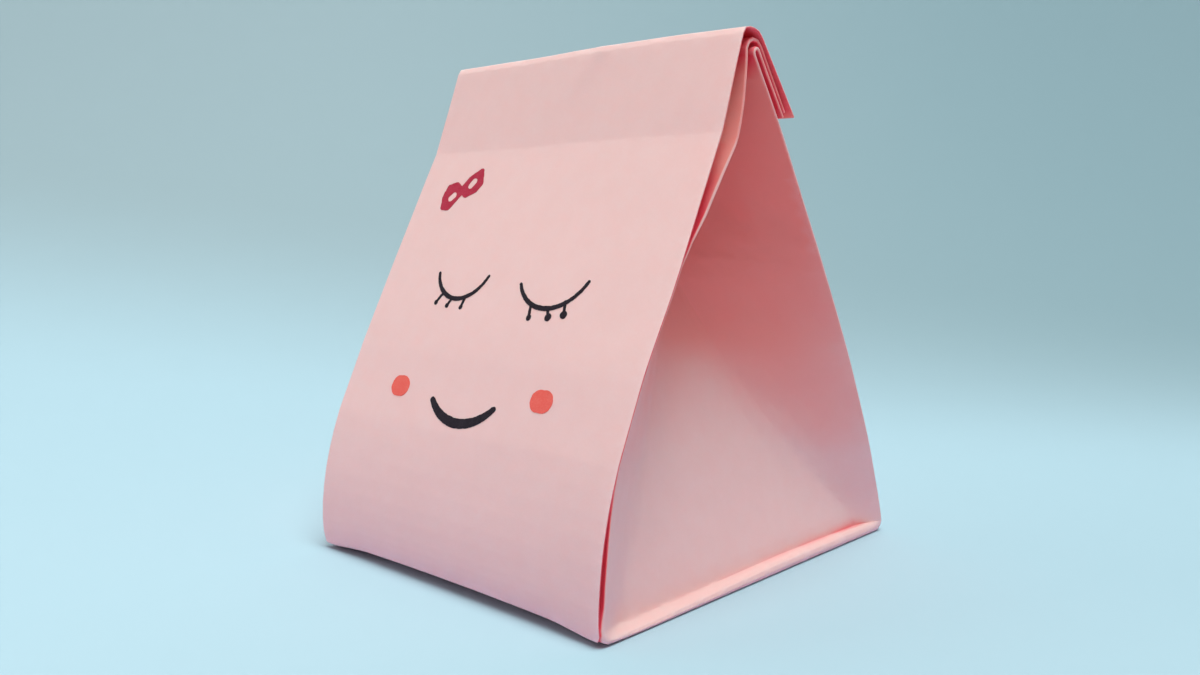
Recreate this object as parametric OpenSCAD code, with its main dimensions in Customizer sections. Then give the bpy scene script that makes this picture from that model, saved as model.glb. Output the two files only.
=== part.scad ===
// Folded paper gift bag: one sheet wrapped into a tube, folded shut at the base,
// pinched along the top and turned over to the back. A sleeping face is drawn on the front.
// The front faces -Y, the origin is on the ground under the middle of the bag.

/* [Bag] */
// Width of the front panel
bag_w = 44; // [38:0.5:52]
// Depth of the base from front to back
bag_d = 56; // [50:0.5:64]
// Height of the ridge above the ground
bag_h = 59.2; // [55:0.1:69]
// Distance of the ridge behind the front edge of the base
ridge_y = 19.8; // [17:0.1:25]

/* [Paper] */
// Thickness of the paper
paper_t = 0.16; // [0.12:0.01:0.18]
// Distance between two layers that lie on each other, from middle to middle
layer_pitch = 0.24; // [0.22:0.01:0.3]

/* [Front panel] */
// How far the foot of the front panel bulges forward
foot_bulge = 0.65; // [0:0.05:1.5]
// Height at which the foot bulges most
foot_h = 4.1; // [3:0.1:6]
// Height of the crease that runs across the front under the ridge
crease_h = 48; // [45:0.1:50]
// Distance of that crease behind the front edge of the base
crease_y = 16.3; // [14:0.1:18]

/* [Glued lap] */
// Width of the strip of paper that lies behind the right edge of the front
lap_w = 9.5; // [4:0.5:14]
// How far the fold beside the lap lies behind the edge of the front
lap_inset = 0.3; // [0.1:0.05:0.6]
// Widest opening of the slit at the foot of the lap
slit_gap = 0.8; // [0:0.05:1.2]
// Height at which that slit closes
slit_h = 17; // [11:0.5:23]
// Widest opening of the lap under the ridge
lap_gap = 2.8; // [0.5:0.1:3.5]
// Height at which the lap begins to open
lap_open_h = 34; // [29:0.5:39]

/* [Side gussets] */
// Depth of the ledge that each side leaves on the base
ledge_d = 1.4; // [0.8:0.1:2.5]
// Lean of the side inwards, in degrees
side_lean = 19; // [14:0.5:22]
// Space between the tips of the two gussets
gusset_gap = 3.6; // [2:0.1:8]
// Height of the point where the two soft bends of a side meet
bend_h = 37; // [31:0.5:43]
// Share of a side's width over which a soft bend turns
bend_soft = 0.35; // [0.1:0.05:0.5]
// How far the back bulges out of the straight line from base to ridge
back_bulge = 1.8; // [0:0.1:3]

/* [Turned mouth] */
// Depth of the flat ridge where the front turns over
ridge_flat = 2.6; // [2:0.1:4]
// Length of the flap that is turned over to the back
flap_len = 7.8; // [4:0.1:10]
// Lean of the flap's inner layers from the upright, in degrees
flap_lean = 38; // [36:1:42]
// Lean of the flap's outer layer from the upright, in degrees
outer_lean = 42; // [40:1:48]
// Radius of the innermost turn of the mouth
turn_r = 0.35; // [0.3:0.05:0.5]
// Thickness of the inner layers that are turned together
bundle_t = 1.2; // [1.15:0.05:1.4]
// Air between the inner layers' turn and the ridge
ridge_air = 0.85; // [0.6:0.05:1.5]

/* [Drawing] */
// Thickness of the ink
ink_t = 0.04; // [0.02:0.01:0.1]
// Width of the line of the eyes
eye_line = 0.5; // [0.3:0.02:0.7]
// Width of the smile in its middle
smile_line = 1.05; // [0.6:0.05:1.4]
// Radius of a cheek's height
cheek_r = 1.2; // [0.8:0.05:1.6]
// How far a cheek is drawn out to each side
cheek_stretch = 0.35; // [0:0.05:0.8]
// Width of the line of the bow
bow_line = 0.9; // [0.6:0.05:1.2]
// Radius of the holes in its loops
bow_hole = 0.47; // [0.3:0.01:0.55]

/* [Hidden] */
$fn = 48;

function mix(p, q, t) = p * (1 - t) + q * t;
function unit(v) = v / max(norm(v), 0.000001);
function clamp(t) = min(max(t, 0), 1);
function ease(t) = let (c = clamp(t)) c * c * (3 - 2 * c);
function polar(r, angle) = [r * cos(angle), r * sin(angle)];
function bezier2(p, t) = mix(mix(p[0], p[1], t), mix(p[1], p[2], t), t);
function bezier3(p, t) = mix(bezier2([p[0], p[1], p[2]], t), bezier2([p[1], p[2], p[3]], t), t);

// Heights of the layers in the base: long flaps, corner triangles, short flaps, lap
level = [for (k = [0:3]) paper_t / 2 + k * layer_pitch];
// Radius with which the walls turn under the base
edge_r = 3 * layer_pitch;
base_top = level[2] + edge_r;
side_r = (base_top - level[0]) / 2;
// Distance from the front to the lap where it lies against it
lap_stand = 1.1 * layer_pitch;
flap_reach = bag_w / 2 - paper_t;
// Middle of the bag, behind the front edge of its base
middle_y = (bag_d - foot_bulge) / 2;

// Profiles are pairs of distance behind the front edge and height
foot = [-foot_bulge, foot_h];
foot_curve = [[edge_r, level[2]], [-0.5 * foot_bulge, level[2]], [-foot_bulge, 0.55 * foot_h], foot];
crease = [crease_y, crease_h];
front_curve = [foot, foot + [0, 0.25 * crease_h], [0.4 * crease_y, 0.56 * crease_h], crease];

// The ridge: two soft corners of the outer layer over one tight turn of the others
ridge_z = bag_h - paper_t / 2;
ridge_front = [ridge_y, ridge_z];
ridge_back = [ridge_y + ridge_flat, ridge_z];
ridge_corner = 0.9;
neck_end = ridge_front - ridge_corner * unit(ridge_front - crease);
bundle_r = turn_r + bundle_t;
outer_dir = polar(1, outer_lean - 90);
outer_room = bundle_r + 1.2 * layer_pitch;
turn_drop = bundle_r + ridge_air;
turn_center = ridge_back - [(outer_room - turn_drop * sin(outer_lean)) / cos(outer_lean), turn_drop];

// The back panel bulges a little and ends where the tight turn begins
back_foot = [bag_d, base_top];
back_way = turn_center - back_foot;
back_middle = back_foot + 0.4 * back_way + 2 * back_bulge * unit([back_way[1], -back_way[0]]);
back_angle = atan2(turn_center[1] - back_middle[1], turn_center[0] - back_middle[0]) + 90;
back_head = turn_center + polar(turn_r, back_angle);
back_curve = [back_foot, back_middle, back_head];

// The lap leaves the front above its opening and runs up to the same turn
lap_angle = 200;
lap_head = turn_center + polar(bundle_r, lap_angle);
lap_foot = crease + [lap_gap + layer_pitch, 0];
lap_curve = [lap_foot, [mix(lap_foot[0], lap_head[0], 0.9), mix(lap_foot[1], lap_head[1], 0.4)], lap_head];

function slit(z) = slit_gap * ease((z - base_top) / 3) * ease((slit_h - z) / (0.6 * slit_h));
function lap_opening(z) = lap_gap * ease((z - lap_open_h) / (0.8 * (crease_h - lap_open_h)));
function gusset_depth(z) = min(ledge_d + tan(side_lean) * max(z - base_top, 0), (bag_w - gusset_gap) / 2);
function bend_place(z) = mix(bend_foot, bend_head, min(z / bend_h, 1));

// A row is the sheet's section at one height: [front, lap, back, depth of the gussets,
// place of their bends, edge of a side that is turning under as [inset, height], reach under
// the base, how far the lap's free edge stands off the front, how far a gusset sinks]
FRONT = 0;
LAP = 1;
BACK = 2;
DEPTH = 3;
BEND = 4;
EDGE = 5;
REACH = 6;
OPEN = 7;
SINK = 8;

// Place of a gusset's bends in its width, at its foot and where they meet
bend_foot = 0.05;
bend_head = 0.47;

// Rows under the base, from the edge of the flaps to where the walls turn up
base_steps = [[flap_reach, 0], [0.6 * flap_reach, 0], [0.3 * flap_reach, 0], [0.1 * flap_reach, 0],
    [2.4 * edge_r, 0.15], [1.8 * edge_r, 0.5]];
base_rows = [for (step = base_steps)
    let (reach = step[0])
    [[reach, level[2]], [reach, level[3]], [bag_d - reach, level[2]], 0, bend_foot,
        [reach, level[0], step[1]], reach, 0, 0]];

// Rows through the turn: the front turns softly and the back tightly by a quarter, the sides
// turn by a half and leave a ledge
turn_steps = [0, 0.12, 0.25, 0.38, 0.48];
function foot_at(t) = bezier3(foot_curve, t);
function foot_in(t) =
    let (way = unit(foot_at(t + 0.01) - foot_at(t - 0.01)))
    foot_at(t) + layer_pitch * [way[1], -way[0]];
turn_rows = [for (k = [0:4])
    let (
        back = [bag_d - edge_r + edge_r * sin(k * 22.5), base_top - edge_r * cos(k * 22.5)],
        inset = side_r * (1 - sin(k * 45)),
        height = level[0] + side_r * (1 - cos(k * 45))
    )
    [foot_at(turn_steps[k]), foot_in(turn_steps[k]), back, k > 2 ? inset : 0, bend_foot,
        [k > 2 ? 0 : inset, height], 0, 0, 0]];

function back_at(z) = bezier2(back_curve, (z - base_top) / (ridge_z - ridge_corner - base_top));
function wall_row(front, sink = 0) =
    let (z = front[1])
    [front, front + [lap_stand + slit(z) + lap_opening(z), 0], back_at(z),
        gusset_depth(z), bend_place(z), undef, 0, 0, sink];

// Rows of the wall: the ledge, the foot and the curved front. The curve has long steps
// where the smile, the eyes and the bow lie, so that each lies on one flat strip
smile_strip = [0.345, 0.54];
eye_strip = [0.62, 0.77];
bow_strip = [0.86, 0.985];
wall_steps = [0, 0.05, 0.1, 0.16, 0.22, 0.28, smile_strip[0], smile_strip[1], 0.58,
    eye_strip[0], eye_strip[1], 0.815, bow_strip[0], bow_strip[1], 1];
wall_rows = concat(
    [for (step = [[0.56, 0.7], [0.64, 0.5], [0.8, 0]])
        let (front = foot_at(step[0])) wall_row(front, step[1] * (front[1] - base_top))],
    [for (t = wall_steps) wall_row(bezier3(front_curve, t))]);

// Share of the lap's opening that its free edge keeps at the ridge
ridge_open = 0.8;

// Rows of the neck between the crease and the ridge
neck_rows = [for (t = [0.2, 0.5, 0.8])
    let (front = mix(crease, neck_end, t))
    [front, bezier2(lap_curve, t), back_at(front[1]), gusset_depth(front[1]), bend_head,
        undef, 0, ridge_open * t, 0]];

// Rows over the ridge
ridge_line = concat(
    [for (t = [0, 0.5, 1]) bezier2([neck_end, ridge_front, ridge_front + [ridge_corner, 0]], t)],
    [for (t = [0, 0.5, 1]) bezier2([ridge_back - [ridge_corner, 0], ridge_back,
        ridge_back + ridge_corner * outer_dir], t)]);
ridge_rows = [for (k = [0:5])
    [ridge_line[k], turn_center + polar(bundle_r, mix(lap_angle, flap_lean, k / 5)),
        turn_center + polar(turn_r, mix(back_angle, flap_lean, k / 5)),
        gusset_depth(ridge_z), bend_head, undef, 0, ridge_open, 0]];

// Rows of the flap that hangs behind the ridge
flap_dir = polar(1, flap_lean - 90);
outer_len = flap_len + ridge_flat - 0.6 * ridge_corner;
flap_rows = [for (t = [0.3, 0.65, 1])
    [ridge_line[5] + t * outer_len * outer_dir,
        turn_center + polar(bundle_r, flap_lean) + t * flap_len * flap_dir,
        turn_center + polar(turn_r, flap_lean) + t * flap_len * flap_dir,
        gusset_depth(ridge_z), bend_head, undef, 0, ridge_open, 0]];

rows = concat(base_rows, turn_rows, wall_rows, neck_rows, ridge_rows, flap_rows);

// Points are [inset from the side, distance behind the front edge, height]
fold_r = layer_pitch / 2;
// Inset of the folds that lie inside the turn of the sides
tuck = 0.9 * side_r;
// Radius of the base's corners, seen from below, and of the upright edges just above them
corner_r = 1.6 * layer_pitch;
upright_r = 2.7 * layer_pitch;
// Half the width of the crease in the middle of a gusset
crease_r = 0.36;

// Direction from a line of the section into the bag, square to the panel
function line_way(i, line) = rows[min(i + 1, len(rows) - 1)][line] - rows[max(i - 1, 0)][line];
function inward(i, line) =
    let (way = unit(line_way(i, line)))
    line == BACK ? [-way[1], way[0]] : [way[1], -way[0]];

// The fold between a panel of the front or back and a side, as six points. Under the base it
// is the corner's triangle, folded twice; in the wall it is a round edge that turns by a
// right angle at the foot and closes to a flat fold at the ridge
function corner_radius(i) =
    let (k = i - len(base_rows))
    k < 2 ? mix(corner_r, upright_r, max(k, 0) / 2) : mix(upright_r, fold_r, min((k - 2) / 7, 1));
// How far a row has come through the turn, and past it to where the front hides the lap's fold
function turned(i) = clamp((i - len(base_rows)) / len(turn_rows));
function hidden(i) = clamp((i - len(base_rows) - len(turn_rows) + 1) / 3);
function fold_turn(row, chord) = 180 - atan2(row[BEND] * norm(chord), max(row[DEPTH], 0.000001));
function corner_point(i, line, facing, k) =
    let (row = rows[i], start = row[line], sign = line == BACK ? -1 : 1)
    row[REACH] > 0
        ? mix(triangle_point(row[REACH], start, sign, k), turning_point(i, start, sign, k), row[EDGE][2])
    : row[EDGE] != undef ? turning_point(i, start, sign, k)
    : let (
        angle = fold_turn(row, row[facing] - start) * k / 5,
        radius = corner_radius(i),
        place = start + radius * (1 - cos(angle)) * inward(i, line)
    ) [radius * (1 - sin(angle)), place[0], place[1]];
function triangle_point(reach, start, sign, k) =
    let (r = (start[1] - level[1]) / 2, y = start[0])
    k == 0 ? [tuck + r, y, start[1]]
    : k == 1 ? [tuck, y, start[1] - r]
    : k == 2 ? [tuck + r, y, level[1]]
    : k == 3 ? [reach - fold_r, y, level[1]]
    : k == 4 ? [reach + 0.4 * fold_r, y - 0.4 * sign * fold_r, level[1] - fold_r]
    : [reach, y + sign * fold_r, level[0]];
function turning_point(i, start, sign, k) =
    let (edge = rows[i][EDGE], r = corner_radius(i))
    [edge[0] + r * (1 - sin(k * 18)), start[0] + sign * r * (1 - cos(k * 18)),
        mix(start[1], edge[1], k / 5)];

// A side between its two folds, pushed in with two soft bends. Steps are shares of the way
// from a fold to the bend, then from the bend to the middle
function soft_least(p, q, soft) = let (h = max(soft - abs(p - q), 0)) min(p, q) - h * h / (4 * soft);
function pushed_in(share, bend, soft) =
    soft_least(soft_least(share / bend, (1 - share) / bend, soft), 1, soft);
function side_points(row, a, b) =
    let (
        width = norm(b - a),
        bend = min(row[BEND], 0.5 - crease_r / width),
        soft = min(bend_soft, (0.5 - bend) * min(0.4 / bend, width / max(row[DEPTH], 0.001))),
        half = concat([for (t = [0.35, 0.7, 1]) t * bend], [for (t = [0.3, 0.65]) mix(bend, 0.5, t)]),
        shares = concat(half, [0.5], [for (k = [len(half) - 1:-1:0]) 1 - half[k]])
    )
    [for (share = shares) mix(a, b, share) + pushed_in(share, bend, soft) * [row[DEPTH], 0, -row[SINK]]];

// One section from the front's raw edge round to the lap's, as [x, y, z]
function place(side, p) = [side * (bag_w / 2 - p[0]), p[1] - middle_y, p[2]];
function section(i) =
    let (
        row = rows[i],
        left_front = [for (k = [0:5]) corner_point(i, FRONT, BACK, k)],
        left_back = [for (k = [5:-1:0]) corner_point(i, BACK, FRONT, k)],
        right_back = [for (k = [0:5]) corner_point(i, BACK, LAP, k)],
        right_front = [for (k = [5:-1:0]) corner_point(i, LAP, BACK, k) + [hidden(i) * lap_inset, 0, 0]],
        raw_inset = (1 - turned(i)) * (right_front[5][0] + 3 * fold_r),
        raw = [raw_inset, row[FRONT][0], row[FRONT][1]],
        stand_off = norm(row[LAP] - row[FRONT]),
        free = row[FRONT] + unit(row[LAP] - row[FRONT])
            * mix(min(stand_off, lap_stand), stand_off, row[OPEN])
    )
    concat(
        [for (t = [0:0.25:0.75]) mix(place(1, raw), place(-1, left_front[0]), t)],
        [for (p = concat(left_front, side_points(row, left_front[5], left_back[0]), left_back))
            place(-1, p)],
        [for (t = [0.33, 0.67]) mix(place(-1, left_back[5]), place(1, right_back[0]), t)],
        [for (p = concat(right_back, side_points(row, right_back[5], right_front[0]), right_front))
            place(1, p)],
        [place(1, [mix(right_front[5][0], lap_w, 0.5), (right_front[5][1] + free[0]) / 2,
            (right_front[5][2] + free[1]) / 2])],
        [place(1, [lap_w, free[0], free[1]])]);

sheet = [for (i = [0:len(rows) - 1]) section(i)];
last_row = len(sheet) - 1;
last_column = len(sheet[0]) - 1;

// The sheet's two faces lie half a thickness to either side, with the corners mitred up to
// this share
mitre_most = 1.3;
function along(p, q) = unit(q - p);
function turn_sum(before, here, after) = along(before, here) + along(here, after);
function face_point(i, j, side) =
    let (
        here = sheet[i][j],
        up = turn_sum(i > 0 ? sheet[i - 1][j] : 2 * here - sheet[i + 1][j], here,
            i < last_row ? sheet[i + 1][j] : 2 * here - sheet[i - 1][j]),
        across = turn_sum(j > 0 ? sheet[i][j - 1] : 2 * here - sheet[i][j + 1], here,
            j < last_column ? sheet[i][j + 1] : 2 * here - sheet[i][j - 1]),
        mitre = min(4 / max(norm(up) * norm(across), 1), mitre_most)
    )
    here + side * mitre * paper_t / 2 * unit(cross(up, across));

function quad(a, b, c, d) = [[a, b, c], [a, c, d]];
module folded_sheet() {
    columns = last_column + 1;
    count = columns * (last_row + 1);
    points = [for (side = [1, -1]) for (i = [0:last_row]) for (j = [0:last_column]) face_point(i, j, side)];
    outside = [for (i = [0:last_row - 1]) for (j = [0:last_column - 1])
        let (p = i * columns + j) each quad(p, p + 1, p + columns + 1, p + columns)];
    inside = [for (f = outside) [f[2] + count, f[1] + count, f[0] + count]];
    side_rims = [for (i = [0:last_row - 1]) for (j = [0, last_column])
        let (p = i * columns + j, q = p + columns)
        each (j == 0 ? quad(p, q, q + count, p + count) : quad(q, p, p + count, q + count))];
    end_rims = [for (j = [0:last_column - 1]) for (i = [0, last_row])
        let (p = i * columns + j, q = p + 1)
        each (i == 0 ? quad(q, p, p + count, q + count) : quad(p, q, q + count, p + count))];
    polyhedron(points, concat(outside, inside, side_rims, end_rims), convexity = 12);
}

module bag() {
    color("pink") folded_sheet();
}

// Lays a flat drawing as ink on the strip of the front between two steps of its curve.
// The drawing's y runs up the panel from the strip's lower edge
module on_front(strip) {
    low = bezier3(front_curve, strip[0]);
    high = bezier3(front_curve, strip[1]);
    slope = atan2(high[1] - low[1], high[0] - low[0]);
    translate([0, low[0] - middle_y, low[1]])
        rotate([slope, 0, 0])
            translate([0, 0, paper_t / 2])
                linear_extrude(ink_t) children();
}

// Straight line with round ends
module stroke(from, to, width) {
    way = to - from;
    translate(from) circle(d = width);
    translate(to) circle(d = width);
    translate(from) rotate(atan2(way[1], way[0])) translate([0, -width / 2]) square([norm(way), width]);
}

// Arc that hangs below its middle point, thinner towards its round ends
module hanging_arc(radius, half_angle, width, end_width) {
    lift = (width - end_width) / (1 - cos(half_angle));
    intersection() {
        difference() {
            circle(radius + width / 2);
            translate([0, lift]) circle(radius + lift - width / 2);
        }
        polygon([[0, 0], for (s = [-1, -0.5, 0.5, 1])
            2 * radius * [sin(s * half_angle), -cos(s * half_angle)]]);
    }
    end = radius + width / 2 - end_width / 2;
    for (s = [-1, 1]) translate(end * [s * sin(half_angle), -cos(half_angle)]) circle(d = end_width);
}

// Closed eye with three lashes: middle of its lowest point, radius, half angle, tilt and lashes
// as [angle from the lowest point, length, lean, radius of the blot at its end]
module closed_eye(low, radius, half_angle, tilt, lashes) {
    translate(low + [0, radius]) {
        rotate(tilt) hanging_arc(radius, half_angle, eye_line, 0.65 * eye_line);
        for (lash = lashes) {
            root = radius * [sin(lash[0]), -cos(lash[0])];
            tip = root + (lash[1] - lash[3]) * [sin(lash[2]), -cos(lash[2])];
            stroke(root, tip, 0.6 * eye_line);
            translate(tip) circle(lash[3]);
        }
    }
}

smile_r = 6.18;
module eyes_and_smile() {
    color("#332e36") {
        on_front(eye_strip) {
            closed_eye([-8, 2.9], 4.43, 71, 0,
                [[-31, 1.8, -29, 0.26], [-7, 1.3, -23, 0.26], [22, 1.55, -9, 0.26]]);
            closed_eye([6.5, 2.47], 5.28, 64, 4,
                [[-23, 1.95, 15, 0.32], [7, 1.5, 25, 0.42], [32, 1.8, 14, 0.42]]);
        }
        on_front(smile_strip)
            translate([-0.85, 1.1 + smile_r]) hanging_arc(smile_r, 51, smile_line, 0.55 * smile_line);
    }
}

module cheeks() {
    color("#e26b5f")
        on_front(smile_strip)
            for (middle = [[-12, 4.1], [10.5, 4.85]])
                stroke(middle - [cheek_stretch, 0], middle + [cheek_stretch, 0], 2 * cheek_r);
}

// Loop of the bow: round dots of ink joined round a hole
module bow_loop(dots, hole) {
    difference() {
        hull() for (dot = dots) translate(dot) circle(bow_line / 2);
        hull() for (dot = hole) translate(dot) circle(bow_hole);
    }
}

module bow() {
    color("#b92d41")
        on_front(bow_strip) {
            bow_loop([[-14.1, 3.6], [-15.5, 4.45], [-16.6, 4.2], [-16.9, 2.9], [-16.5, 1.5],
                [-15.6, 1.45]], [[-15.3, 3.05], [-15.65, 2.7]]);
            bow_loop([[-14.2, 3.9], [-13.35, 5.2], [-11.9, 6.25], [-11.3, 4.6], [-11.8, 3.8],
                [-13.2, 3.15]], [[-12.85, 4.4], [-12.5, 4.9]]);
        }
}

bag();
eyes_and_smile();
cheeks();
bow();
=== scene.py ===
"""Looks of a small folded paper gift bag with a sleeping face drawn on its front.

Everything is in metres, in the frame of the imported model: +Z up, the front towards -Y.
"""

import math

import bmesh
import bpy
from mathutils import Matrix, Vector, noise
from mathutils.bvhtree import BVHTree


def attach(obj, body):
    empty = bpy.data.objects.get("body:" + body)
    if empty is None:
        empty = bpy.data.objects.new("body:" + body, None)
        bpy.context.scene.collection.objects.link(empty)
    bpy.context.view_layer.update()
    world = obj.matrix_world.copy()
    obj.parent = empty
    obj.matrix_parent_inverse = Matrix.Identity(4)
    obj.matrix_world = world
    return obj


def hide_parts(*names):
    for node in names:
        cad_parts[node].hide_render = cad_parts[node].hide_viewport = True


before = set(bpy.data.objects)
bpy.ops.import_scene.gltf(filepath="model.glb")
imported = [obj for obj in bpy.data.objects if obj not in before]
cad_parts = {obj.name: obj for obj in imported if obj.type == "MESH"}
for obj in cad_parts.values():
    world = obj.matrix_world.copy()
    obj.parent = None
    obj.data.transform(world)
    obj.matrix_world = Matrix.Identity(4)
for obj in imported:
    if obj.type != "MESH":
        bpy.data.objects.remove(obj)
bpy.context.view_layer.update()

MM = 0.001

# Noise vectors take their places from the clock unless they are seeded
WAVE_SEED = 1
noise.seed_set(WAVE_SEED)

# Camera: standing place in mm, turn, tilt and roll in degrees, lens in mm
CAMERA_PLACE = (79.85, -94.255, 36.62)
CAMERA_AZIMUTH = 41.521
CAMERA_TILT = 5.203
CAMERA_ROLL = 1.257
CAMERA_LENS = 30.03

# Colours, linear
PINK_PAPER = (0.89, 0.475, 0.44, 1.0)
PINK_FIBRE = (0.92, 0.56, 0.53, 1.0)
# Painted shade: the paper deepened to red where it faces its own sheet, for light bounced
# between its layers
SHADE_DEEPENED_PAPER = (0.95, 0.28, 0.24, 1.0)
# Painted shade and glow: crimson in narrow crevices, for shade and for light let through the
# thin paper
CREVICE_SHADE_AND_GLOW = (0.88, 0.055, 0.085, 1.0)
WORN_PAPER = (0.95, 0.68, 0.66, 1.0)
BLACK_INK = (0.017, 0.008, 0.012, 1.0)
BLACK_FADED = (0.055, 0.036, 0.045, 1.0)
CORAL_INK = (0.86, 0.105, 0.080, 1.0)
CORAL_FADED = (0.88, 0.19, 0.15, 1.0)
CRIMSON_INK = (0.45, 0.020, 0.045, 1.0)
CRIMSON_FADED = (0.56, 0.07, 0.10, 1.0)
SKY_FLOOR = (0.455, 0.545, 0.605, 1.0)
# Painted shade on the board: the wall is darker than the floor, and SKY_SHADE darkens it towards
# the right
SKY_WALL = (0.35, 0.39, 0.415, 1.0)
SKY_SHADE = (0.24, 0.31, 0.34, 1.0)
PLAIN_FLOOR = (0.63, 0.56, 0.58, 1.0)
LILAC_FLOOR = (0.63, 0.63, 0.86, 1.0)
SKY_ROUND = (0.35, 0.50, 0.56, 1.0)
# The same as the far board looks, with the light that its surface throws back
SKY_BEYOND = (0.371, 0.530, 0.590, 1.0)
NO_COLOUR = (0.0, 0.0, 0.0, 1.0)
ROOM_LIGHT = (0.87, 0.98, 1.0, 1.0)


def held(share):
    """The share, held between 0 and 1."""
    return min(max(share, 0.0), 1.0)


# Camera

def make_camera():
    """Camera at the photograph's viewing angle."""
    azimuth, tilt, roll = (math.radians(a) for a in (CAMERA_AZIMUTH, CAMERA_TILT, CAMERA_ROLL))
    forward = Vector((-math.sin(azimuth) * math.cos(tilt), math.cos(azimuth) * math.cos(tilt),
                      -math.sin(tilt)))
    level = Vector((math.cos(azimuth), math.sin(azimuth), 0.0))
    upright = level.cross(forward)
    right = math.cos(roll) * level + math.sin(roll) * upright
    up = -math.sin(roll) * level + math.cos(roll) * upright
    turn = Matrix((right, up, -forward)).transposed()
    data = bpy.data.cameras.new("camera")
    data.lens = CAMERA_LENS
    data.sensor_width = 36.0
    data.clip_start = 0.005
    data.clip_end = 20.0
    camera = bpy.data.objects.new("camera", data)
    camera.matrix_world = Matrix.Translation(Vector(CAMERA_PLACE) * MM) @ turn.to_4x4()
    bpy.context.scene.collection.objects.link(camera)
    bpy.context.scene.camera = camera


# Helpers for meshes

# Points of a node that lie closer than this, in mm, are one point
SAME_POINT = 0.0005


def new_object(name, mesh_maker):
    """Object at the origin whose mesh is what mesh_maker leaves in a bmesh."""
    bm = bmesh.new()
    mesh_maker(bm)
    mesh = bpy.data.meshes.new(name)
    bm.to_mesh(mesh)
    bm.free()
    piece = bpy.data.objects.new(name, mesh)
    bpy.context.scene.collection.objects.link(piece)
    return piece


def merged_copy(bm, node):
    """Brings in a node's mesh with its loose triangles joined."""
    bm.from_mesh(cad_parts[node].data)
    bmesh.ops.remove_doubles(bm, verts=bm.verts, dist=SAME_POINT * MM)


def refine(bm, longest, rounds):
    """Halves every edge that is longer than asked, a few times over."""
    for _ in range(rounds):
        long_edges = [e for e in bm.edges if e.calc_length() > longest]
        if not long_edges:
            break
        bmesh.ops.subdivide_edges(bm, edges=long_edges, cuts=1)
        bmesh.ops.triangulate(bm, faces=[f for f in bm.faces if len(f.verts) > 3])


# How real paper departs from the flat: the same shift for every layer at one place. The
# waves and dents fade out towards the ground. Sizes in mm

WAVE_LENGTH, WAVE_DEPTH = 26.0, 0.32
DENT_LENGTH, DENT_DEPTH = 9.0, 0.07
DENT_START = Vector((7.3, 1.9, 4.1))
CALM_HEIGHT, CALM_FADE = 2.0, 9.0

WRINKLE_FROM = Vector((2.8, -7.9, 58.6)) * MM
WRINKLE_TO = Vector((-0.1, -9.2, 53.9)) * MM
WRINKLE_WIDTH, WRINKLE_DEPTH, WRINKLE_FADE = 1.1, 0.32, 0.6

FRONT_EDGE = -27.7 * MM
FOOT_LIFT, FOOT_TOP, FOOT_FADE = 0.5, 14.0, 12.0
FOOT_REACH, FOOT_HALF_WIDTH = 3.5, 26.0

# The rolled edge: how much of its height is pressed away, and how much at the most below
# the height where the pressing ends
LEDGE_SQUEEZE, LEDGE_SLOPE, LEDGE_TOP = 0.55, 0.10, 9.1
LEDGE_BACK, LEDGE_LENGTH = 6.0, 32.0
LEDGE_INSIDE, LEDGE_WIDTH = 15.0, 5.0


def wrinkle_share(point):
    """1 on the soft wrinkle that runs down from the ridge, falling to 0 beside it."""
    way = WRINKLE_TO - WRINKLE_FROM
    along = held((point - WRINKLE_FROM).dot(way) / way.length_squared)
    away = (point - WRINKLE_FROM - along * way).length / (WRINKLE_WIDTH * MM)
    return math.exp(-away * away) * (1.0 - WRINKLE_FADE * along)


def foot_lift(point):
    """The foot of the front has sprung up from the ground a little, most in its middle."""
    behind = (point.y - FRONT_EDGE) / (FOOT_REACH * MM)
    across = point.x / (FOOT_HALF_WIDTH * MM)
    fading = held((FOOT_TOP * MM - point.z) / (FOOT_FADE * MM))
    return FOOT_LIFT * MM * math.exp(-max(behind, 0.0) ** 2) * fading * (1.0 - across * across)


def ledge_press(point):
    """The rolled edges at the sides are pressed thinner towards the front."""
    forwards = held((LEDGE_BACK * MM - point.y) / (LEDGE_LENGTH * MM))
    outwards = held((abs(point.x) - LEDGE_INSIDE * MM) / (LEDGE_WIDTH * MM))
    pressed = min(LEDGE_SQUEEZE * point.z, LEDGE_SLOPE * max(LEDGE_TOP * MM - point.z, 0.0))
    return -pressed * forwards * outwards


def paper_shift(point):
    """How far the paper at a place lies from where the flat sheet would be."""
    rise = held((point.z - CALM_HEIGHT * MM) / (CALM_FADE * MM))
    wave = noise.noise_vector(point / (WAVE_LENGTH * MM)) * WAVE_DEPTH * MM
    dent = noise.noise_vector(point / (DENT_LENGTH * MM) + DENT_START) * DENT_DEPTH * MM
    wrinkle = Vector((0.0, -WRINKLE_DEPTH * MM, 0.0)) * wrinkle_share(point)
    upwards = Vector((0.0, 0.0, foot_lift(point) + ledge_press(point)))
    return (wave + dent + wrinkle) * rise + upwards


# Helpers for nodes

def new_group(name, inputs, outputs):
    group = bpy.data.node_groups.new(name, "ShaderNodeTree")
    for socket_name, kind, value in inputs:
        socket = group.interface.new_socket(name=socket_name, in_out="INPUT", socket_type=kind)
        socket.default_value = value
    for socket_name, kind in outputs:
        group.interface.new_socket(name=socket_name, in_out="OUTPUT", socket_type=kind)
    return group, group.nodes.new("NodeGroupInput"), group.nodes.new("NodeGroupOutput")


def new_material(name):
    material = bpy.data.materials.new(name)
    material.use_nodes = True
    tree = material.node_tree
    return material, tree, tree.nodes["Principled BSDF"]


def add_node(tree, kind, **values):
    node = tree.nodes.new(kind)
    for key, value in values.items():
        setattr(node, key, value)
    return node


def feed(tree, sockets, values):
    """Gives each socket its value, or a link where the value is another socket."""
    for socket, value in zip(sockets, values):
        if isinstance(value, (int, float, tuple)):
            socket.default_value = value
        else:
            tree.links.new(value, socket)


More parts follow.
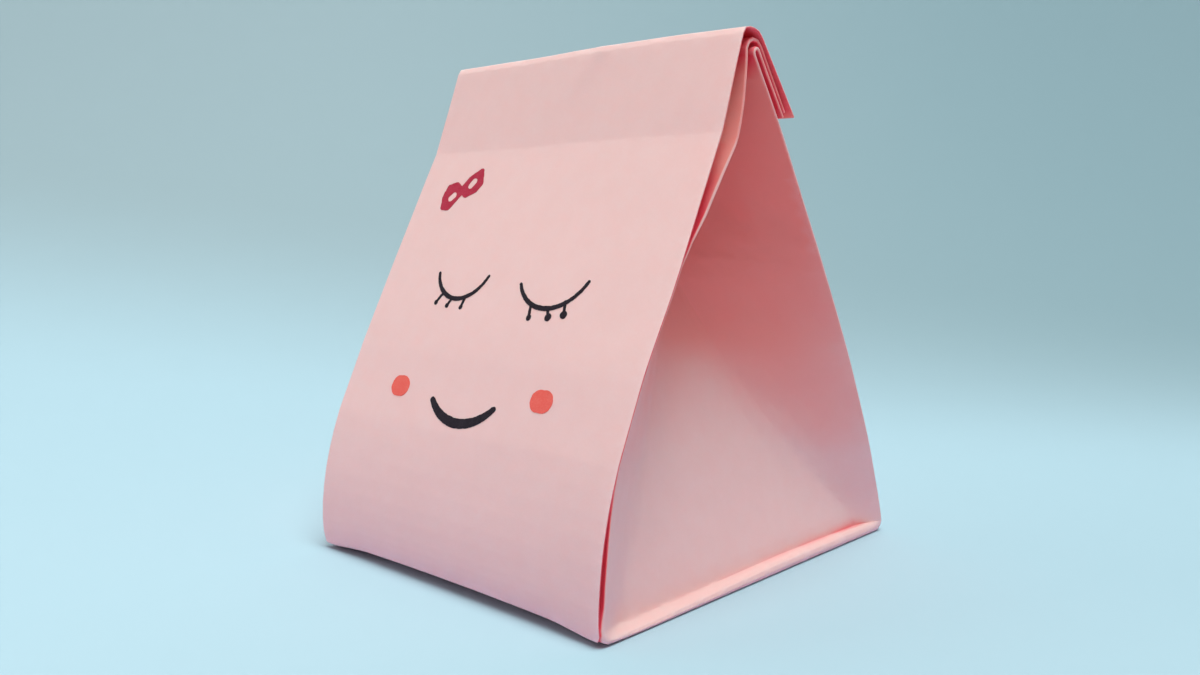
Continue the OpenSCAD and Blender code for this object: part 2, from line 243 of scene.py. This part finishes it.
def noise_node(tree, place, scale, detail, rough=0.5):
    node = add_node(tree, "ShaderNodeTexNoise")
    node.inputs["Scale"].default_value = scale
    node.inputs["Detail"].default_value = detail
    node.inputs["Roughness"].default_value = rough
    tree.links.new(place, node.inputs["Vector"])
    return node


def math_node(tree, operation, first, second):
    node = add_node(tree, "ShaderNodeMath", operation=operation)
    feed(tree, node.inputs, (first, second))
    return node.outputs[0]


def mix_colour(tree, share, first, second):
    node = add_node(tree, "ShaderNodeMix", data_type="RGBA")
    feed(tree, (node.inputs[0], node.inputs[6], node.inputs[7]), (share, first, second))
    return node.outputs[2]


def spread(tree, value, middle, gain):
    """The value's distance from its middle, times a gain."""
    return math_node(tree, "MULTIPLY", math_node(tree, "SUBTRACT", value, middle), gain)


def ramp(tree, value, lowest, highest, top=1.0, shape="SMOOTHSTEP"):
    """Share that rises from 0 to top as the value goes from lowest to highest."""
    node = add_node(tree, "ShaderNodeMapRange", interpolation_type=shape)
    node.inputs["From Min"].default_value = lowest
    node.inputs["From Max"].default_value = highest
    node.inputs["To Max"].default_value = top
    tree.links.new(value, node.inputs["Value"])
    return node.outputs["Result"]


def reading(tree, attribute):
    """The mesh's own attribute of that name."""
    return add_node(tree, "ShaderNodeAttribute", attribute_name=attribute).outputs["Fac"]


def way_along(tree, place, direction):
    """How far a place lies along a direction."""
    node = add_node(tree, "ShaderNodeVectorMath", operation="DOT_PRODUCT")
    tree.links.new(place, node.inputs[0])
    node.inputs[1].default_value = direction
    return node.outputs["Value"]


def background_rays(tree):
    """1 for the rays that show the background: from the camera, mirrored or let through."""
    rays = add_node(tree, "ShaderNodeLightPath").outputs
    passed_on = math_node(tree, "MAXIMUM", rays["Is Glossy Ray"], rays["Is Transmission Ray"])
    return math_node(tree, "MAXIMUM", rays["Is Camera Ray"], passed_on)


# Paper and ink

FIBRE_ROUGHNESS = 0.3
WEAR_STRENGTH = 0.3


def make_paper_grain():
    """Fibres and cloudiness of a sheet of coloured paper."""
    group, inside, outside = new_group(
        "paper_grain",
        [("Fibre Size mm", "NodeSocketFloat", 0.22), ("Cloud Size mm", "NodeSocketFloat", 2.4)],
        [("Fibre", "NodeSocketFloat"), ("Cloud", "NodeSocketFloat"),
         ("Height", "NodeSocketFloat")],
    )
    place = add_node(group, "ShaderNodeTexCoord").outputs["Object"]
    fibre = noise_node(group, place, scale=1.0, detail=3.0, rough=0.6)
    cloud = noise_node(group, place, scale=1.0, detail=4.0, rough=0.55)
    for pattern, size in ((fibre, "Fibre Size mm"), (cloud, "Cloud Size mm")):
        scale = math_node(group, "DIVIDE", 1.0 / MM, inside.outputs[size])
        group.links.new(scale, pattern.inputs["Scale"])
    group.links.new(fibre.outputs["Fac"], outside.inputs["Fibre"])
    group.links.new(cloud.outputs["Fac"], outside.inputs["Cloud"])
    clouds = math_node(group, "MULTIPLY", cloud.outputs["Fac"], 0.5)
    group.links.new(math_node(group, "ADD", fibre.outputs["Fac"], clouds),
                    outside.inputs["Height"])
    return group


def place_grain(tree, group, **values):
    node = add_node(tree, "ShaderNodeGroup", node_tree=group)
    for key, value in values.items():
        node.inputs[key.replace("_", " ")].default_value = value
    return node


def add_surface(tree, shader, grain, rough, bump_mm, bump_strength):
    """Roughness and bump from the fibres."""
    fibres = math_node(tree, "MULTIPLY", grain.outputs["Fibre"], FIBRE_ROUGHNESS)
    tree.links.new(math_node(tree, "ADD", rough, fibres), shader.inputs["Roughness"])
    bump = add_node(tree, "ShaderNodeBump")
    bump.inputs["Distance"].default_value = bump_mm * MM
    bump.inputs["Strength"].default_value = bump_strength
    tree.links.new(grain.outputs["Height"], bump.inputs["Height"])
    tree.links.new(bump.outputs["Normal"], shader.inputs["Normal"])


def make_paper(grain_group):
    """Coloured paper with painted shade: deepened to red where it faces more of its own sheet,
    crimson in narrow crevices; paler on worn folds.
    """
    material, tree, shader = new_material("pink_paper")
    grain = place_grain(tree, grain_group)
    clouded = spread(tree, grain.outputs["Cloud"], middle=0.38, gain=0.55)
    speckled = spread(tree, grain.outputs["Fibre"], middle=0.42, gain=0.5)
    body = mix_colour(tree, math_node(tree, "ADD", clouded, speckled), PINK_PAPER, PINK_FIBRE)
    # Painted shade: the shelter mask deepens the colour where the sheet faces itself
    painted_shade = ramp(tree, reading(tree, "shelter"), lowest=0.29, highest=0.53)
    body = mix_colour(tree, painted_shade, body, SHADE_DEEPENED_PAPER)
    # Painted shade and glow: the crevice mask turns narrow gaps crimson
    painted_crevice_shade = ramp(tree, reading(tree, "crevice"), lowest=0.13, highest=0.46)
    body = mix_colour(tree, painted_crevice_shade, body, CREVICE_SHADE_AND_GLOW)
    fibres = math_node(tree, "MULTIPLY", grain.outputs["Fibre"], WEAR_STRENGTH)
    worn = math_node(tree, "MULTIPLY", reading(tree, "fold_wear"), fibres)
    tree.links.new(mix_colour(tree, worn, body, WORN_PAPER), shader.inputs["Base Color"])
    shader.inputs["Specular IOR Level"].default_value = 0.28
    shader.inputs["Subsurface Weight"].default_value = 0.35
    shader.inputs["Subsurface Scale"].default_value = 0.25 * MM
    shader.inputs["Subsurface Radius"].default_value = (1.0, 0.45, 0.4)
    add_surface(tree, shader, grain, rough=0.72, bump_mm=0.02, bump_strength=0.35)
    return material


def make_ink(grain_group, name, colour, faded, rough):
    """Felt pen ink that has sunk into the paper: paler where the fibres stand up."""
    material, tree, shader = new_material(name)
    grain = place_grain(tree, grain_group, Fibre_Size_mm=0.16, Cloud_Size_mm=0.9)
    speckled = spread(tree, grain.outputs["Fibre"], middle=0.45, gain=1.2)
    clouded = spread(tree, grain.outputs["Cloud"], middle=0.4, gain=0.7)
    share = math_node(tree, "ADD", speckled, clouded)
    tree.links.new(mix_colour(tree, share, colour, faded), shader.inputs["Base Color"])
    shader.inputs["Specular IOR Level"].default_value = 0.12
    add_surface(tree, shader, grain, rough=rough, bump_mm=0.015, bump_strength=0.3)
    return material


# The bag

# The shelter and crevice masks below carry painted shade into the paper's colour
SHEET_EDGE, SHEET_ROUNDS = 1.6 * MM, 2
SHELTER_EDGE, SHELTER_ROUNDS = 3.0 * MM, 5
SHELTER_REACH = 30.0 * MM
SHELTER_RAYS = 48
CREVICE_REACH = 2.2 * MM
SHELTER_SOFTENINGS = 5
CREVICE_SOFTENINGS = 2
SOFTENING_ANGLE = math.radians(60)
WEAR_ANGLE = math.radians(32)
SHARP_ANGLE = math.radians(55)

# Turn in radians between two rays, by which they spread evenly
GOLDEN_TURN = 2.399963
# How far off the sheet the rays start, in mm
RAY_START = 0.03
# Share that the ground counts for, and the height below which that share fades
GROUND_SHELTER = 0.60
GROUND_FADE = 14.0 * MM
# Paper that faces up is open, so it gets less painted shade: the share taken off, from which
# upward slope, over how much
OPEN_SHARE, OPEN_FROM, OPEN_OVER = 0.85, 0.4, 0.35


def sky_rays():
    """Directions round +Z, more of them near it, as a surface facing +Z gathers light."""
    rays = []
    for i in range(SHELTER_RAYS):
        share, turn = (i + 0.5) / SHELTER_RAYS, i * GOLDEN_TURN
        rays.append(Vector((math.sqrt(share) * math.cos(turn), math.sqrt(share) * math.sin(turn),
                            math.sqrt(1.0 - share))))
    return rays


def soften_masks(bm, shelter, crevice):
    """Rims take on what their sheet has, and then each point nears its neighbours."""
    rims = {v for e in bm.edges if e.calc_face_angle(0.0) > SOFTENING_ANGLE for v in e.verts}
    for vert in rims:
        sheet = [e.other_vert(vert) for e in vert.link_edges if e.other_vert(vert) not in rims]
        for layer in (shelter, crevice):
            if sheet:
                vert[layer] = sum(v[layer] for v in sheet) / len(sheet)
    beside = [[e.other_vert(v) for e in v.link_edges
               if e.calc_face_angle(math.pi) < SOFTENING_ANGLE and not rims.issuperset(e.verts)]
              for v in bm.verts]
    for layer in [shelter] * SHELTER_SOFTENINGS + [crevice] * CREVICE_SOFTENINGS:
        softer = [(vert[layer] + sum(v[layer] for v in others)) / (1 + len(others))
                  for vert, others in zip(bm.verts, beside)]
        for vert, value in zip(bm.verts, softer):
            vert[layer] = value


def measure_shelter(bm):
    """Gives each point the share of what it faces that is the bag's own paper or, counting
    less, the ground, and the share that is paper very close to it; the paper's colour
    turns these shares into painted shade."""
    bm.normal_update()
    tree = BVHTree.FromBMesh(bm)
    shelter = bm.verts.layers.float.new("shelter")
    crevice = bm.verts.layers.float.new("crevice")
    rays = sky_rays()
    for vert in bm.verts:
        start = vert.co + vert.normal * RAY_START * MM
        facing = vert.normal.to_track_quat("Z", "Y")
        closed, near = 0.0, 0
        ground = GROUND_SHELTER * held(vert.co.z / GROUND_FADE)
        for ray in rays:
            way = facing @ ray
            distance = tree.ray_cast(start, way, SHELTER_REACH)[3]
            if distance is not None:
                closed += 1.0
                near += distance < CREVICE_REACH
            elif way.z < 0.0:
                closed += ground
        open_above = 1.0 - OPEN_SHARE * held((vert.normal.z - OPEN_FROM) / OPEN_OVER)
        vert[shelter] = closed / SHELTER_RAYS * open_above
        vert[crevice] = near / SHELTER_RAYS
    soften_masks(bm, shelter, crevice)


def folded_sheet(bm):
    """The sheet with its masks: painted shade from shelter and crevices, and fold wear. Until
    the wear is stored, an edge that isn't smooth is an outer fold."""
    merged_copy(bm, "bag")
    bm.normal_update()
    for edge in bm.edges:
        edge.smooth = not edge.is_convex or edge.calc_face_angle() < WEAR_ANGLE
    refine(bm, SHELTER_EDGE, SHELTER_ROUNDS)
    measure_shelter(bm)
    refine(bm, SHEET_EDGE, SHEET_ROUNDS)
    wear = bm.verts.layers.float.new("fold_wear")
    for edge in bm.edges:
        if not edge.smooth:
            for vert in edge.verts:
                vert[wear] = 1.0
    for vert in bm.verts:
        vert.co += paper_shift(vert.co)
    for face in bm.faces:
        face.smooth = True
    for edge in bm.edges:
        edge.smooth = len(edge.link_faces) != 2 or edge.calc_face_angle() < SHARP_ANGLE


def make_bag(material):
    bag = new_object("paper_bag", folded_sheet)
    bag.data.materials.append(material)
    normals = bag.modifiers.new("even_shading", "WEIGHTED_NORMAL")
    normals.keep_sharp = True
    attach(bag, "root")
    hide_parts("bag")


# The drawing. Sizes in mm

INK_EDGE, INK_ROUNDS = 0.2, 6
TREMBLE_LENGTH, TREMBLE_DEPTH = 0.55, 0.045
QUIVER_LENGTH, QUIVER_DEPTH = 0.22, 0.03
# Faces whose normal leans less than this towards the front are the ink's side walls, and a
# point on none of them has no outward direction
WALL_LEAN = 0.6
LEAST_OUTWARDS = 0.1


def make_drawing(name, node, material, soaked=0.0):
    """Ink of one colour, drawn by hand: its outline trembles a little, and the ink has
    soaked outwards into the paper."""
    def drawn(bm):
        merged_copy(bm, node)
        refine(bm, INK_EDGE * MM, INK_ROUNDS)
        bm.normal_update()
        for vert in bm.verts:
            walls = (f.normal for f in vert.link_faces if abs(f.normal.y) < WALL_LEAN)
            outwards = sum(walls, Vector())
            if outwards.length > LEAST_OUTWARDS:
                vert.co += outwards.normalized() * soaked
        for vert in bm.verts:
            tremble = noise.noise_vector(vert.co / (TREMBLE_LENGTH * MM)) * TREMBLE_DEPTH * MM
            tremble += noise.noise_vector(vert.co / (QUIVER_LENGTH * MM)) * QUIVER_DEPTH * MM
            tremble.y = 0.0
            vert.co += tremble + paper_shift(vert.co)
    piece = new_object(name, drawn)
    piece.data.materials.append(material)
    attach(piece, "root")
    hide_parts(node)


# Stage and light

# The wall leans this much across the picture
WALL_SLANT = 0.3
LAMP_AIM = (0.0, 0.0, 0.03)


def board_sweep(bm):
    """Floor that bends up into a wall behind, square to the camera."""
    half, front, back, bend, top = 5.0, -5.0, 0.10, 0.35, 2.4
    start = [bm.verts.new((x, front, 0.0)) for x in (-half, half)]
    bm.edges.new(start)
    made = bmesh.ops.extrude_edge_only(bm, edges=bm.edges[:])["geom"]
    edge = [g for g in made
            if isinstance(g, bmesh.types.BMEdge) and all(v not in start for v in g.verts)]
    bmesh.ops.translate(bm, verts=edge[0].verts[:], vec=(0.0, back - front, 0.0))
    turned = bmesh.ops.spin(bm, geom=[edge[0]] + edge[0].verts[:], cent=(0.0, back, bend),
                            axis=(1.0, 0.0, 0.0), dvec=(0.0, 0.0, 0.0),
                            angle=math.radians(90), steps=24, use_merge=False,
                            use_normal_flip=False, use_duplicate=False)["geom_last"]
    last = [g for g in turned if isinstance(g, bmesh.types.BMEdge)]
    made = bmesh.ops.extrude_edge_only(bm, edges=last)["geom"]
    bmesh.ops.translate(bm, verts=[g for g in made if isinstance(g, bmesh.types.BMVert)],
                        vec=(0.0, 0.0, top - bend))
    bmesh.ops.rotate(bm, verts=bm.verts, cent=(0.0, 0.0, 0.0),
                     matrix=Matrix.Rotation(math.radians(CAMERA_AZIMUTH), 3, "Z"))
    bmesh.ops.recalc_face_normals(bm, faces=bm.faces)
    for face in bm.faces:
        face.smooth = True


def make_board():
    """Pale blue where it is seen, with painted shade that makes it dimmer to the right and up
    the wall; other rays meet a plain floor, lilac near the bag. Far away it fades into the
    world's blue."""
    material, tree, shader = new_material("pale_blue_board")
    azimuth = math.radians(CAMERA_AZIMUTH)
    place = add_node(tree, "ShaderNodeTexCoord").outputs["Object"]
    depth = way_along(tree, place, (WALL_SLANT * math.cos(azimuth) - math.sin(azimuth),
                                    WALL_SLANT * math.sin(azimuth) + math.cos(azimuth), 1.0))
    reach = ramp(tree, depth, lowest=0.07, highest=0.30)
    mottling = noise_node(tree, place, scale=60.0, detail=3.0).outputs["Fac"]
    mottle = spread(tree, mottling, middle=0.5, gain=0.05)
    # Painted shade: darker up the wall than on the floor
    board = mix_colour(tree, math_node(tree, "ADD", reach, mottle), SKY_FLOOR, SKY_WALL)
    # Painted shade: darker towards the right, more so up the wall
    across = way_along(tree, place, (math.cos(azimuth), math.sin(azimuth), 0.0))
    dimming = ramp(tree, across, lowest=-0.16, highest=0.24, top=0.8)
    away = math_node(tree, "ADD", 0.3, math_node(tree, "MULTIPLY", reach, 0.7))
    board = mix_colour(tree, math_node(tree, "MULTIPLY", dimming, away), board, SKY_SHADE)
    length = add_node(tree, "ShaderNodeVectorMath", operation="LENGTH")
    tree.links.new(place, length.inputs[0])
    distance = length.outputs["Value"]
    farther = ramp(tree, distance, lowest=0.04, highest=0.16, shape="LINEAR")
    plain = mix_colour(tree, farther, LILAC_FLOOR, PLAIN_FLOOR)
    as_background = background_rays(tree)
    fading = ramp(tree, distance, lowest=0.5, highest=1.1)
    board = mix_colour(tree, fading, board, NO_COLOUR)
    tree.links.new(mix_colour(tree, as_background, plain, board), shader.inputs["Base Color"])
    shader.inputs["Emission Color"].default_value = SKY_ROUND
    tree.links.new(math_node(tree, "MULTIPLY", fading, as_background),
                   shader.inputs["Emission Strength"])
    shader.inputs["Roughness"].default_value = 0.9
    shader.inputs["Specular IOR Level"].default_value = 0.2
    return material


def make_stage():
    stage = new_object("stage_sweep", board_sweep)
    stage.data.materials.append(make_board())


def add_area_light(name, place, size, power, colour):
    data = bpy.data.lights.new(name, "AREA")
    data.shape = "DISK"
    data.size = size
    data.energy = power
    data.color = colour
    lamp = bpy.data.objects.new(name, data)
    lamp.location = place
    lamp.rotation_mode = "QUATERNION"
    lamp.rotation_quaternion = (Vector(LAMP_AIM) - Vector(place)).to_track_quat("-Z", "Y")
    bpy.context.scene.collection.objects.link(lamp)


def make_light():
    world = bpy.data.worlds.new("studio")
    world.use_nodes = True
    tree = world.node_tree
    room = tree.nodes["Background"]
    room.inputs["Color"].default_value = ROOM_LIGHT
    room.inputs["Strength"].default_value = 0.13
    backdrop = add_node(tree, "ShaderNodeBackground")
    backdrop.inputs["Color"].default_value = SKY_BEYOND
    choice = add_node(tree, "ShaderNodeMixShader")
    feed(tree, choice.inputs, (background_rays(tree), room.outputs[0], backdrop.outputs[0]))
    tree.links.new(choice.outputs[0], tree.nodes["World Output"].inputs["Surface"])
    bpy.context.scene.world = world
    add_area_light("ceiling_panel", (0.295, -0.205, 1.24), size=0.9, power=22.4,
                   colour=(0.745, 0.95, 0.96))
    add_area_light("front_window", (-0.80, -0.70, 0.50), size=0.8, power=2.8,
                   colour=(0.78, 0.97, 0.96))


# Making everything

make_camera()
bpy.context.scene.view_settings.view_transform = "Standard"
make_stage()
make_light()

paper_grain = make_paper_grain()
make_bag(make_paper(paper_grain))
make_drawing("drawn_eyes_and_smile", "eyes_and_smile",
             make_ink(paper_grain, "black_felt_pen", BLACK_INK, BLACK_FADED, rough=0.6),
             soaked=0.035 * MM)
make_drawing("drawn_cheeks", "cheeks",
             make_ink(paper_grain, "coral_felt_pen", CORAL_INK, CORAL_FADED, rough=0.6))
make_drawing("drawn_bow", "bow",
             make_ink(paper_grain, "crimson_felt_pen", CRIMSON_INK, CRIMSON_FADED, rough=0.55))
